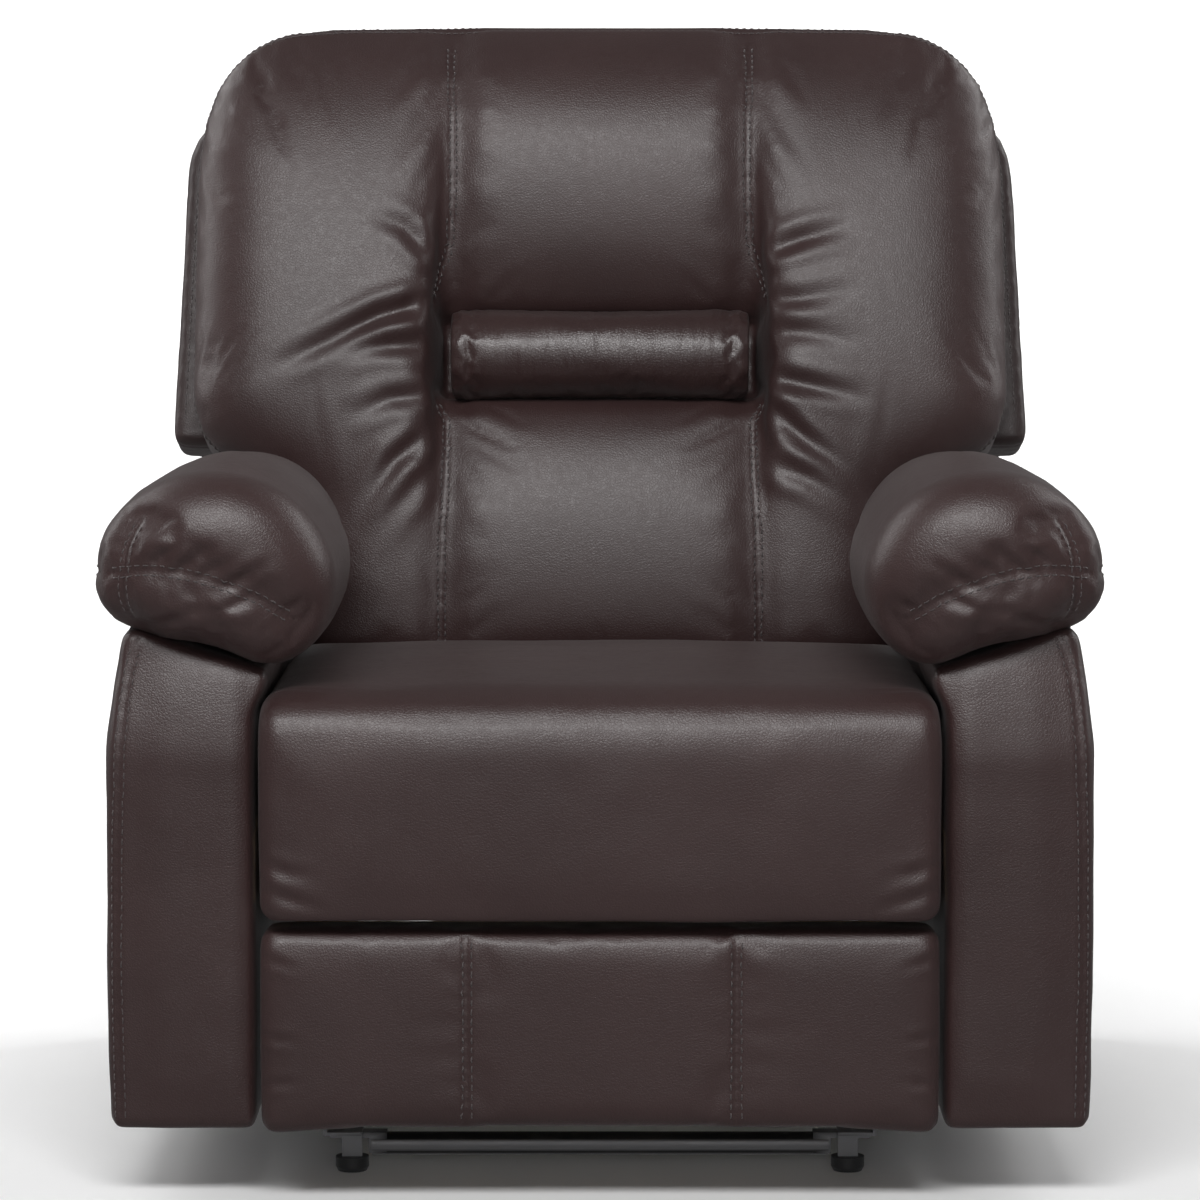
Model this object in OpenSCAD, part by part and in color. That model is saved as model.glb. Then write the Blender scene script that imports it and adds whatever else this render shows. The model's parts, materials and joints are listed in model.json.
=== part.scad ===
// Reclining armchair with a lever-released footrest and a back that tips while the seat
// slides forward on swing links. +Z is up, the chair faces -Y, left means the -X side.
// The origin is on the floor, under the middle of the whole chair.

/* [Overall] */
// Distance from the front of the arm pads to the rear of the back shell
depth = 930; // [900:5:960]
// Width over the arm pads
width = 892; // [880:2:904]
// Lean of the back from vertical, in degrees
lean = 15; // [12:1:18]

/* [Seat] */
// Half the width of the seat cushion
seat_half = 291; // [285:1:293]
// Height of the top of the seat cushion
seat_top = 445; // [435:1:452]
// Height of the lower edge of the seat's front apron
apron_bottom = 256; // [254:1:262]
// Distance from the middle of the chair to the front of the seat
seat_front = 462; // [455:1:464]

/* [Arms] */
// Distance from the middle to the inner face of an arm
arm_inner = 300; // [299:1:304]
// Distance from the middle to the widest line of an arm's outer side
arm_outer = 428; // [420:1:432]
// Height of the lower edge of the arms
arm_bottom = 65; // [60:1:70]
// Top of the arm panel at its outer seam
arm_top = 505; // [495:1:508]
// Top of the arm pads
pad_top = 643; // [620:1:648]

/* [Footrest] */
// Half the width of the footrest
foot_half = 295; // [285:1:297]
// Lower edge of the closed footrest
foot_bottom = 68; // [64:1:80]
// Upper edge of the closed footrest
foot_top = 244; // [236:1:246]
// Distance from the middle of the chair to the footrest's face
foot_face = 450; // [440:1:455]

/* [Mechanism] */
// Thickness of every steel link and plate
plate = 3; // [2.5:0.1:3]
// Radius of the link pivot pins
pin_r = 4; // [3.5:0.1:4.5]
// Length of the swing links that carry the chair body
swing_len = 140; // [130:1:145]
// Angle that the swing links lean backward at rest
swing_angle = 25; // [20:1:28]
// Length of the footrest's front link
drive_len = 205; // [195:1:208]

/* [Hidden] */
$fn = 48;
// side view points are [forward, up], and forward is -Y
run = 0.05;       // radial clearance of a running pivot
snug = 0.02;      // radial clearance of a pin in the plate that holds it
loose = 0.6;      // radial clearance of the two pivots that close each linkage
head_r = 7;
head_h = 1.5;
gap = 1;          // space between neighbouring link planes

// link planes, as the inner face of each plate at the +X side
x_web = 246;
x_swing = 250;
x_outer = 257.5;
x_link = x_outer + plate + gap;
x_inner = x_link + plate + gap;
x_side = x_inner + plate + gap;
x_wood = x_side + plate;
wood = 25;

// base
rail_front = 310;
rail_rear = -312;
flange_z = 33;
web_top = 106;
flange_in = 214.7;
glide_h = 13;
glide_r = 15;
glide_x = 223.6;
foot_y = [-300, 300];
tube_y = [-286, 284];
tube_r = 10.5;
tube_z = 21.5;
tube_flat = 9;
tube_bolt_x = glide_x + 6;
tube_bolt_r = 3;
swing_base = [[-220, 85], [120, 85]];
swing_step = swing_len * [-sin(swing_angle), cos(swing_angle)];
swing_top = [for (p = swing_base) p + swing_step];

// footrest linkage, closed
link_w = 22;
drive_pivot = [315, 262];
link_offset = [-60, -26];
rear_pivot = drive_pivot + link_offset;
link_dir = [-sin(20), -cos(20)];
drive_end = drive_pivot + drive_len * link_dir;
rear_end = drive_end + link_offset;
foot_pivot = [335, 185];
arm_step = 50;
inner_low = drive_end - arm_step * link_dir;
inner_high = foot_pivot - arm_step * link_dir;
torque_at = drive_pivot + 55 * link_dir;
torque_r = 9;

// seat box
rail_low = 262;
rail_high = 322;
apron_low = 120;
front_rail = [385, 410];
side_rail_rear = -195;
rear_rail = [-150, -125];
spring_z = 323;
cushion_rear = -92;
cushion_low = 338;
apron_back = 411;
bolt_r = 4;
bolt_spots = [[-90, 292], [90, 292], [300, 292]];

// footrest
board_front = 385;
board_back = 367;
screw_spots = [[248, 100], [248, 140]];

// back, in its own leaning frame: x across, t rearward, s up along the back
back_y = 110;
back_z = 440;
back_pivot = [-180, 300];
cushion_t = 132;
tray_t = 136;
shell_top = 577;
shell_t = (depth / 2 - back_y - shell_top * sin(lean)) / cos(lean);
shell_wall = 8;
post_x = x_inner - wood;
post_t = [141, 181];
post_s = [-40, 540];
post_mid = 161;
post_bolts = [10, 48];
post_bolt_r = 3;
roll_s = 293;
roll_t = 30;
roll_r = 42;
roll_half = 150;

// release handle, on the outer side of the left arm
cup_y = [-270, -140];
cup_z = [325, 401];
cup_in = 394;
cup_wall = 2.5;
lever_y = -252;
lever_x = 424;
lever_len = 84;
lever_pin_r = 2.5;

// ---- helpers -------------------------------------------------------------

// extrudes a side view outline across X, from x to x + t
module across(x, t)
    translate([x + t, 0, 0])
        rotate([90, 0, -90])
            linear_extrude(t)
                children();

// a round pin or hole across X
module rod(p, x, t, r)
    across(x, t)
        translate(p)
            circle(r);

module other_side(side)
    mirror([side < 0 ? 1 : 0, 0, 0])
        children();

module both_sides()
    for (side = [-1, 1])
        other_side(side)
            children();

// a flat bar with round eyes of width w at two side view points, and a narrower neck
module bar(p, q, w) {
    d = q - p;
    neck = 0.84 * w;
    translate(p)
        rotate(atan2(d[1], d[0]))
            translate([0, -neck / 2])
                square([norm(d), neck]);
    translate(p)
        circle(d = w);
    translate(q)
        circle(d = w);
}

// pin with a head on its inner end
module headed_pin(p, x_from, x_to) {
    rod(p, x_from, x_to - x_from, pin_r);
    rod(p, x_from - head_h, head_h, head_r);
}

// block given by its lowest and highest corner
module block(a, b)
    translate(a)
        cube(b - a);

// rounded box
module soft_block(a, b, r)
    hull()
        for (x = [a[0] + r, b[0] - r], y = [a[1] + r, b[1] - r], z = [a[2] + r, b[2] - r])
            translate([x, y, z])
                sphere(r, $fn = 24);

module back_frame()
    translate([0, back_y, back_z])
        rotate([-lean, 0, 0])
            children();

// ---- base ----------------------------------------------------------------

module base_rail(side)
    color([0.07, 0.07, 0.075])
        other_side(side)
            difference() {
                union() {
                    block([x_web, -rail_front, flange_z], [x_web + plate, -rail_rear, web_top]);
                    block([flange_in, -rail_front, flange_z],
                          [x_web, -rail_rear, flange_z + plate]);
                    for (y = foot_y)
                        block([flange_in, y - 4, glide_h], [flange_in + 18, y + 4, flange_z]);
                }
                for (p = swing_base)
                    rod(p, x_web - 1, plate + 2, pin_r + snug);
                for (y = tube_y)
                    translate([tube_bolt_x, y, flange_z - 1])
                        cylinder(h = plate + 2, r = tube_bolt_r + snug);
            }

module cross_tube(y)
    color([0.06, 0.06, 0.065])
        difference() {
            union() {
                translate([-flange_in + 8, y, tube_z])
                    rotate([0, 90, 0])
                        cylinder(h = 2 * flange_in - 16, r = tube_r);
                both_sides()
                    block([flange_in - 22, y - tube_flat, flange_z - 5],
                          [x_web - 2, y + tube_flat, flange_z]);
                both_sides()
                    block([flange_in - 22, y - tube_flat, 14],
                          [flange_in - 6, y + tube_flat, flange_z - 4]);
            }
            both_sides()
                translate([tube_bolt_x, y, flange_z - 6])
                    cylinder(h = 8, r = tube_bolt_r + snug);
        }

module foot_glides()
    color([0.05, 0.05, 0.05])
        both_sides()
            for (y = foot_y)
                translate([glide_x, y, 0]) {
                    cylinder(h = 4, r1 = glide_r - 2, r2 = glide_r);
                    translate([0, 0, 4])
                        cylinder(h = glide_h - 4, r = glide_r);
                }

module base_bolts()
    color([0.45, 0.45, 0.47])
        both_sides()
            for (y = tube_y)
                translate([tube_bolt_x, y, 0]) {
                    translate([0, 0, flange_z - 5])
                        cylinder(h = plate + 5, r = tube_bolt_r);
                    translate([0, 0, flange_z + plate])
                        cylinder(h = 3.5, r = 5.5, $fn = 6);
                    translate([0, 0, flange_z - 7])
                        cylinder(h = 2, r = 5);
                }

module base_pins()
    color([0.5, 0.5, 0.52])
        both_sides()
            for (p = swing_base) {
                headed_pin(p, x_web, x_swing + plate + 0.5);
                rod(p, x_swing + plate + 0.5, head_h, head_r);
            }

// ---- swing links ---------------------------------------------------------

module swing_links(i)
    color([0.1, 0.1, 0.11])
        both_sides()
            difference() {
                across(x_swing, plate)
                    bar(swing_base[i], swing_top[i], 28);
                rod(swing_base[i], x_swing - 1, plate + 2, pin_r + run);
                rod(swing_top[i], x_swing - 1, plate + 2, pin_r + (i == 0 ? run : loose));
            }

// ---- carriage: side plates and pins --------------------------------------

module side_plate(side)
    color([0.09, 0.09, 0.1])
        other_side(side)
            difference() {
                across(x_side, plate) {
                    polygon([[-292, 198], [70, 198], [140, 224], [238, 218], [322, 244],
                        [342, 262], [342, 300], [-165, 300], [-165, 262], [-200, 238],
                        [-292, 230]]);
                    bar(back_pivot, [-150, 262], 34);
                }
                for (p = concat(swing_top, [drive_pivot, rear_pivot]))
                    rod(p, x_side - 1, plate + 2, pin_r + snug);
                rod(back_pivot, x_side - 1, plate + 2, pin_r + 1 + snug);
            }

module mechanism_pins()
    color([0.5, 0.5, 0.52])
        both_sides() {
            for (p = swing_top) {
                headed_pin(p, x_swing - 0.5, x_wood);
                rod(p, x_swing + plate + 0.6, x_side - x_swing - plate - 0.6, head_r);
            }
            for (p = [drive_pivot, rear_pivot])
                headed_pin(p, x_link - 0.3, x_wood);
            rod(back_pivot, x_inner - 0.3, x_wood - x_inner + 0.3, pin_r + 1);
            rod(back_pivot, x_inner - 2.3, 2, 10);
        }

// ---- carriage: seat ------------------------------------------------------

module seat_side_rails()
    color([0.72, 0.56, 0.36])
        both_sides()
            difference() {
                block([x_wood, -front_rail[0], rail_low], [x_wood + wood, -side_rail_rear, rail_high]);
                for (p = bolt_spots)
                    rod(p, x_wood - 1, wood + 2, bolt_r + snug);
            }

module seat_front_rail()
    color([0.72, 0.56, 0.36])
        block([-x_wood - wood, -front_rail[1], rail_low], [x_wood + wood, -front_rail[0], rail_high]);

module seat_rear_rail()
    color([0.72, 0.56, 0.36])
        block([-x_side, -rear_rail[1], rail_low], [x_side, -rear_rail[0], rail_high]);

// one flat sinuous spring, running fore and aft
module sinuous(n, pitch, reach, w)
    for (i = [0 : n - 1]) {
        flip = i % 2 == 0 ? 1 : -1;
        translate([i * pitch - w / 2, -reach])
            square([w, 2 * reach]);
        if (i < n - 1)
            translate([(i + 0.5) * pitch, flip * reach])
                difference() {
                    circle(pitch / 2 + w / 2);
                    circle(pitch / 2 - w / 2);
                    translate([-pitch, flip > 0 ? -2 * pitch : 0])
                        square([2 * pitch, 2 * pitch]);
                }
    }

module seat_springs() {
    n = 21;
    reach_back = rear_rail[0] + 10;
    pitch = (front_rail[1] - 8 - reach_back) / (n - 1);
    color([0.35, 0.36, 0.38])
        for (x = [-204, -102, 0, 102, 204])
            translate([x, -reach_back, spring_z])
                rotate([0, 0, -90])
                    linear_extrude(4)
                        sinuous(n, pitch, 12, 4);
}

module spring_pad()
    color([0.85, 0.84, 0.8])
        block([-262, -front_rail[1], spring_z + 5], [262, -rear_rail[0], cushion_low - 1]);

// side outline of the seat cushion: a slab with a waterfall front
module seat_outline() {
    r_top = 48;
    r_low = 18;
    translate([cushion_rear, cushion_low])
        square([seat_front - r_top - cushion_rear, seat_top - cushion_low]);
    translate([apron_back, apron_bottom + r_low])
        square([seat_front - apron_back, seat_top - r_top - apron_bottom - r_low]);
    translate([apron_back, apron_bottom])
        square([seat_front - r_low - apron_back, r_low]);
    translate([seat_front - r_low, apron_bottom + r_low])
        circle(r_low);
    translate([seat_front - r_top, seat_top - r_top])
        circle(r_top);
}

module seat_cushion()
    color([0.27, 0.22, 0.22])
        across(-seat_half, 2 * seat_half)
            seat_outline();

// ---- carriage: arms ------------------------------------------------------

// front view outline of an arm, with its wall moved in by e
module arm_outline(e)
    polygon([[arm_inner + e, arm_bottom - (e > 0 ? 1 : 0)],
        [arm_outer - 1 - e, arm_bottom - (e > 0 ? 1 : 0)],
        [arm_outer - e, 310],
        [arm_outer - 5 - e, 440],
        [arm_outer - 17 - 1.2 * e, arm_top - 1.3 * e],
        [arm_inner + e, arm_top - 29 - 1.3 * e]]);

// extrudes a front view outline from the front (smaller Y) to the rear
module along_y(y_front, y_rear)
    translate([0, y_rear, 0])
        rotate([90, 0, 0])
            linear_extrude(y_rear - y_front)
                children();

arm_front = -430;
arm_rear = 380;
board_in = 307;
board_out = 319;
end_board = 15;
board_end = 408;
front_board_top = 395;
frame_y = [-420, 370];
frame_z = [75, 462];
glue = 0.3;

module arm_cover(side)
    color([0.27, 0.22, 0.22])
        other_side(side)
            difference() {
                along_y(arm_front, arm_rear)
                    arm_outline(0);
                along_y(arm_front + 8, arm_rear - 8)
                    arm_outline(6);
                for (p = bolt_spots)
                    rod(p, arm_inner - 1, 8, bolt_r + snug);
                if (side < 0) {
                    rod(cable_exit, arm_inner - 1, 8, cable_hole);
                    block([arm_outer - 20, cup_y[0] + 6, cup_z[0] + 6],
                          [arm_outer + 5, cup_y[1] - 6, cup_z[1] - 6]);
                }
            }

// five boards, each apart from the next by a line of glue
module arm_frame(side)
    color([0.72, 0.56, 0.36])
        other_side(side)
            difference() {
                union() {
                    block([board_in, frame_y[0] + end_board + glue, frame_z[0]],
                          [board_out, frame_y[1], frame_z[1]]);
                    block([board_in, frame_y[0], frame_z[0]],
                          [board_end, frame_y[0] + end_board, front_board_top]);
                    block([board_out + glue, frame_y[1] - end_board, frame_z[0]],
                          [board_end, frame_y[1], frame_z[1] + 8]);
                    block([394, frame_y[0] + end_board + glue, frame_z[0]],
                          [412, frame_y[1] - end_board - glue, 120]);
                    block([384, frame_y[0] + 2 * end_board, 440],
                          [402, frame_y[1] - end_board - glue, 480]);
                }
                for (p = bolt_spots)
                    rod(p, board_in - 1, board_out - board_in + 2, bolt_r + snug);
                if (side < 0)
                    rod(cable_exit, board_in - 1, board_out - board_in + 2, cable_hole);
            }

// front view outline of an arm pad, shrunk towards its middle by k
module pad_outline(k) {
    mid = [335, 575];
    edge = [[282, 479], [345, 488], [409, 508], [width / 2, 545], [438, 592], [405, 626],
        [355, pad_top], [305, pad_top - 4], [252, 605], [222, 548], [238, 505]];
    polygon([for (p = edge) mid + (p - mid) * k]);
}

module arm_pad(side)
    color([0.27, 0.22, 0.22])
        other_side(side)
            hull() {
                for (c = [[-depth / 2, 0.8], [-depth / 2 + 30, 1], [20, 1], [64, 0.85]])
                    along_y(c[0], c[0] + 4)
                        pad_outline(c[1]);
            }

module arm_bolts()
    color([0.5, 0.5, 0.52])
        both_sides()
            for (p = bolt_spots) {
                rod(p, x_wood, board_out + 3 - x_wood, bolt_r);
                rod(p, board_out + 0.2, 4, 8);
            }

module rear_apron()
    color([0.27, 0.22, 0.22])
        block([-arm_inner + 0.5, 352, apron_low], [arm_inner - 0.5, 372, rail_low]);

// ---- release handle ------------------------------------------------------

cable_exit = [205, 232];
cable_hole = 9;

module release_bezel()
    color([0.08, 0.08, 0.085])
        mirror([1, 0, 0])
            difference() {
                union() {
                    block([arm_outer + 0.3, cup_y[0], cup_z[0]],
                          [arm_outer + 3.3, cup_y[1], cup_z[1]]);
                    block([cup_in, cup_y[0] + 7, cup_z[0] + 7],
                          [arm_outer + 1, cup_y[1] - 7, cup_z[1] - 7]);
                }
                block([cup_in + cup_wall, cup_y[0] + 7 + cup_wall, cup_z[0] + 7 + cup_wall],
                      [arm_outer + 5, cup_y[1] - 7 - cup_wall, cup_z[1] - 7 - cup_wall]);
                translate([lever_x, lever_y, cup_z[0] + 6])
                    cylinder(h = cup_z[1] - cup_z[0] - 12, r = lever_pin_r + snug);
            }

module handle_pin()
    color([0.5, 0.5, 0.52])
        translate([-lever_x, lever_y, cup_z[0] + 7.2])
            cylinder(h = cup_z[1] - cup_z[0] - 14.4, r = lever_pin_r);

module release_handle() {
    low = cup_z[0] + 7 + cup_wall + 1;
    high = cup_z[1] - 7 - cup_wall - 1;
    color([0.06, 0.06, 0.065])
        mirror([1, 0, 0])
            difference() {
                union() {
                    translate([lever_x, lever_y, low])
                        cylinder(h = high - low, r = 5);
                    block([lever_x - 2, lever_y, low], [lever_x + 2.5, lever_y + lever_len, high]);
                    block([lever_x - 6, lever_y + lever_len - 5, low],
                          [lever_x + 2.5, lever_y + lever_len, high]);
                }
                translate([lever_x, lever_y, low - 1])
                    cylinder(h = high - low + 2, r = lever_pin_r + run);
            }
}

// centre line of the release cable, as [x, z] points in one plane across the chair
cable_y = -205;
cable_r = 2.5;
cable_sides = 8;
cable_route = [[-394, 363], [-382, 363], [-370, 355], [-362, 336], [-356, 310], [-350, 285],
    [-342, 260], [-330, 242], [-312, 233], [-292, 232], [-272.5, 232]];

function cable_angle(i) =
    let (a = cable_route[max(i - 1, 0)])
    let (b = cable_route[min(i + 1, len(cable_route) - 1)])
    atan2(b[1] - a[1], b[0] - a[0]);

function cable_point(i, k) =
    let (turn = 360 * k / cable_sides)
    let (out = cable_r * cos(turn))
    [cable_route[i][0] - out * sin(cable_angle(i)),
        cable_y + cable_r * sin(turn),
        cable_route[i][1] + out * cos(cable_angle(i))];

module release_cable() {
    last = len(cable_route) - 1;
    m = cable_sides;
    color([0.05, 0.05, 0.05])
        polyhedron(
            [for (i = [0 : last], k = [0 : m - 1]) cable_point(i, k)],
            concat(
                [[for (k = [0 : m - 1]) k]],
                [for (i = [0 : last - 1], k = [0 : m - 1])
                    [i * m + k, (i + 1) * m + k, (i + 1) * m + (k + 1) % m, i * m + (k + 1) % m]],
                [[for (k = [m - 1 : -1 : 0]) last * m + k]]));
}

// ---- footrest linkage ----------------------------------------------------

module front_link(side)
    color([0.1, 0.1, 0.11])
        other_side(side)
            difference() {
                across(x_link, plate)
                    bar(drive_pivot, drive_end, link_w);
                rod(drive_pivot, x_link - 1, plate + 2, pin_r + run);
                rod(drive_end, x_link - 1, plate + 2, pin_r + snug);
                rod(inner_low, x_link - 1, plate + 2, pin_r + snug);
            }

module torque_tube()
    color([0.1, 0.1, 0.11])
        difference() {
            rod(torque_at, -x_link, 2 * x_link, torque_r);
            rod(torque_at, -x_link - 1, 2 * x_link + 2, torque_r - 1.8);
        }

module front_link_pins()
    color([0.5, 0.5, 0.52])
        both_sides() {
            headed_pin(drive_end, x_outer - 0.3, x_link + plate);
            rod(inner_low, x_link, x_inner + plate + 0.3 - x_link, pin_r);
            rod(inner_low, x_inner + plate + 0.3, head_h, head_r);
        }

module rear_link(side)
    color([0.1, 0.1, 0.11])
        other_side(side)
            difference() {
                across(x_link, plate)
                    bar(rear_pivot, rear_end, link_w);
                rod(rear_pivot, x_link - 1, plate + 2, pin_r + run);
                rod(rear_end, x_link - 1, plate + 2, pin_r + loose);
            }

module outer_link(side)
    color([0.1, 0.1, 0.11])
        other_side(side)
            difference() {
                across(x_outer, plate) {
                    bar(rear_end, drive_end, link_w);
                    bar(drive_end, foot_pivot, link_w);
                }
                rod(drive_end, x_outer - 1, plate + 2, pin_r + run);
                for (p = [rear_end, foot_pivot])
                    rod(p, x_outer - 1, plate + 2, pin_r + snug);
            }

module outer_link_pins()
    color([0.5, 0.5, 0.52])
        both_sides()
            for (p = [rear_end, foot_pivot])
                headed_pin(p, x_outer, x_link + plate + 0.4);

module inner_link(side)
    color([0.1, 0.1, 0.11])
        other_side(side)
            difference() {
                across(x_inner, plate)
                    bar(inner_low, inner_high, 18);
                rod(inner_low, x_inner - 1, plate + 2, pin_r + run);
                rod(inner_high, x_inner - 1, plate + 2, pin_r + loose);
            }

// ---- footrest ------------------------------------------------------------

module footrest_board()
    color([0.72, 0.56, 0.36])
        difference() {
            block([-270, -board_front, foot_bottom + 12], [270, -board_back, foot_top - 6]);
            both_sides()
                for (p = screw_spots)
                    translate([p[0], -board_front + 2, p[1]])
                        rotate([-90, 0, 0])
                            cylinder(h = 20, r = 2.5 + snug);
        }

module footrest_outline() {
    r = 14;
    for (z = [foot_bottom + r, foot_top - r])
        translate([foot_face - r, z])
            circle(r);
    translate([board_front + 0.5, foot_bottom])
        square([foot_face - r - board_front - 0.5, foot_top - foot_bottom]);
    translate([board_front + 0.5, foot_bottom + r])
        square([foot_face - board_front - 0.5, foot_top - foot_bottom - 2 * r]);
}

module footrest_pad()
    color([0.27, 0.22, 0.22])
        across(-foot_half, 2 * foot_half)
            footrest_outline();

module footrest_brackets()
    color([0.1, 0.1, 0.11])
        both_sides()
            difference() {
                union() {
                    across(x_link, plate) {
                        bar(foot_pivot, inner_high, 20);
                        translate([foot_pivot[0] - 8, 150])
                            square([board_back - foot_pivot[0] + 8, 76]);
                    }
                    block([236, -board_back, 88], [x_link + plate, -board_back + plate, 226]);
                }
                rod(foot_pivot, x_link - 1, plate + 2, pin_r + run);
                rod(inner_high, x_link - 1, plate + 2, pin_r + snug);
                for (p = screw_spots)
                    translate([p[0], -board_back - 1, p[1]])
                        rotate([-90, 0, 0])
                            cylinder(h = plate + 2, r = 2.5 + snug);
            }

module footrest_pins()
    color([0.5, 0.5, 0.52])
        both_sides()
            headed_pin(inner_high, x_link, x_inner + plate + 0.3);

module footrest_screws()
    color([0.5, 0.5, 0.52])
        both_sides()
            for (p = screw_spots)
                translate([p[0], -board_front + 2.2, p[1]])
                    rotate([-90, 0, 0]) {
                        cylinder(h = board_front - board_back + plate - 2.2, r = 2.5);
                        translate([0, 0, board_front - board_back + plate - 2.2])
                            cylinder(h = 2, r = 5);
                    }

// ---- back ----------------------------------------------------------------

module back_brackets()
    color([0.1, 0.1, 0.11])
        both_sides()
            difference() {
                union() {
                    across(x_inner, plate)
                        bar(back_pivot, [-238, 334], 34);
                    back_frame()
                        block([x_inner, post_t[0], -100], [x_inner + plate, post_t[1], 60]);
                }
                rod(back_pivot, x_inner - 1, plate + 2, pin_r + 1 + run);
                for (s = post_bolts)
                    back_frame()
                        translate([x_inner - 1, post_mid, s])
                            rotate([0, 90, 0])
                                cylinder(h = plate + 2, r = post_bolt_r + snug);
            }

module back_bolts()
    color([0.5, 0.5, 0.52])
        both_sides()
            back_frame()
                for (s = post_bolts)
                    translate([post_x, post_mid, s])
                        rotate([0, 90, 0]) {
                            cylinder(h = wood + plate, r = post_bolt_r);
                            translate([0, 0, -1.5])
                                cylinder(h = 1.5, r = 7);
                        }

module back_post(side)
    color([0.72, 0.56, 0.36])
        other_side(side)
            back_frame()
                difference() {
                    block([post_x, post_t[0], post_s[0]], [x_inner, post_t[1], post_s[1]]);
                    for (s = post_bolts)
                        translate([post_x - 1, post_mid, s])
                            rotate([0, 90, 0])
                                cylinder(h = wood + 2, r = post_bolt_r + snug);
                }

module back_cross_rails()
    color([0.72, 0.56, 0.36])
        back_frame()
            for (s = [[post_s[0], 0], [200, 240], [500, post_s[1]]])
                block([-post_x, post_t[0], s[0]], [post_x, post_t[1], s[1]]);

module back_wings()
    color([0.76, 0.62, 0.42])
        both_sides()
            back_frame()
                translate([0, 168, 0])
                    rotate([90, 0, 0])
                        linear_extrude(12)
                            polygon([[x_inner, 240], [422, 240], [412, 500], [380, 548],
                                [x_inner, 548]]);

module back_webbing()
    color([0.2, 0.2, 0.2])
        back_frame()
            for (s = [-40 : 75 : 480])
                block([-post_x, cushion_t + 5, s], [post_x, post_t[0], s + 50]);

// half outline of the back shell, from the front
module shell_half(e) {
    corner = 70;
    side_low = 438 - e;
    side_high = 424 - e;
    top = shell_top - e;
    step = 222 + e;
    polygon([[0, -160 + e], [255 - e, -160 + e], [255 - e, -50], [284 - e, -50], [284 - e, step],
        [side_low, step], [side_high, top - corner], [side_high - corner, top - corner],
        [side_high - corner, top], [0, top]]);
    translate([side_high - corner, top - corner])
        circle(corner);
}

module shell_slab(e, t0, t1)
    translate([0, t1, 0])
        rotate([90, 0, 0])
            linear_extrude(t1 - t0)
                for (m = [0, 1])
                    mirror([m, 0])
                        shell_half(e);

module back_shell()
    color([0.25, 0.2, 0.2])
        back_frame()
            difference() {
                shell_slab(0, tray_t, shell_t);
                shell_slab(shell_wall, tray_t - 1, shell_t - shell_wall);
            }

module back_cushion()
    color([0.27, 0.22, 0.22])
        back_frame()
            difference() {
                union() {
                    soft_block([-405, 0, 205], [405, cushion_t, 647], 50);
                    soft_block([-283, 0, -28], [283, cushion_t, 400], 45);
                }
                translate([-roll_half - 3, roll_t, roll_s])
                    rotate([0, 90, 0])
                        cylinder(h = 2 * roll_half + 6, r = roll_r + 2);
                block([-roll_half - 3, -5, roll_s - roll_r - 2],
                      [roll_half + 3, roll_t, roll_s + roll_r + 2]);
            }

module lumbar_roll()
    color([0.3, 0.24, 0.24])
        back_frame()
            translate([-roll_half, roll_t, roll_s])
                rotate([0, 90, 0])
                    cylinder(h = 2 * roll_half, r = roll_r);

// ---- the parts -----------------------------------------------------------

base_rail(-1);  // base_rail_left
base_rail(1);  // base_rail_right
cross_tube(tube_y[0]);  // front_cross_tube
cross_tube(tube_y[1]);  // rear_cross_tube
foot_glides();
base_bolts();
base_pins();
swing_links(0);  // rear_swing_links
swing_links(1);  // front_swing_links
side_plate(-1);  // side_plate_left
side_plate(1);  // side_plate_right
mechanism_pins();
seat_side_rails();
seat_front_rail();
seat_rear_rail();
seat_springs();
spring_pad();
seat_cushion();
arm_frame(-1);  // arm_frame_left
arm_frame(1);  // arm_frame_right
arm_cover(-1);  // arm_cover_left
arm_cover(1);  // arm_cover_right
arm_pad(-1);  // arm_pad_left
arm_pad(1);  // arm_pad_right
arm_bolts();
rear_apron();
release_bezel();
release_cable();
handle_pin();
release_handle();
front_link(-1);  // front_link_left
front_link(1);  // front_link_right
torque_tube();
front_link_pins();
rear_link(-1);  // rear_link_left
rear_link(1);  // rear_link_right
outer_link(-1);  // outer_link_left
outer_link(1);  // outer_link_right
outer_link_pins();
inner_link(-1);  // inner_link_left
inner_link(1);  // inner_link_right
footrest_board();
footrest_pad();
footrest_brackets();
footrest_pins();
footrest_screws();
back_brackets();
back_post(-1);  // back_post_left
back_post(1);  // back_post_right
back_cross_rails();
back_wings();
back_webbing();
back_shell();
back_cushion();
lumbar_roll();
back_bolts();
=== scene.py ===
import json
import math

import bmesh
import bpy
import numpy as np
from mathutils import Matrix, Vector, noise
from mathutils.bvhtree import BVHTree
from mathutils.kdtree import KDTree


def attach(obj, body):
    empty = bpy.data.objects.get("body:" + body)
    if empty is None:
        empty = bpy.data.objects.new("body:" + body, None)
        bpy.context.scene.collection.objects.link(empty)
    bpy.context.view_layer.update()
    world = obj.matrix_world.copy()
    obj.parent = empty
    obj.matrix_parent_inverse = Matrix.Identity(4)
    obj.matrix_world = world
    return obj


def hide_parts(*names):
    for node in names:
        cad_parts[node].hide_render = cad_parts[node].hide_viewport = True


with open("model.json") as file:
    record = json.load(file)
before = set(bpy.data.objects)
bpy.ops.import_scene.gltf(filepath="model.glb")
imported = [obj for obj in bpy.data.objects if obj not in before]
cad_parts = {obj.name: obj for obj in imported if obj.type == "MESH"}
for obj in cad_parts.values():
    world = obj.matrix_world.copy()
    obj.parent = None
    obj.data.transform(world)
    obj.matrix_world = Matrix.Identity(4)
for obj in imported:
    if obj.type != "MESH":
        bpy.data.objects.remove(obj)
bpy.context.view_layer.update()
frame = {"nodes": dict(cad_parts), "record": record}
scene = bpy.context.scene

# ---- camera, at the photograph's angle ------------------------------------

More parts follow.
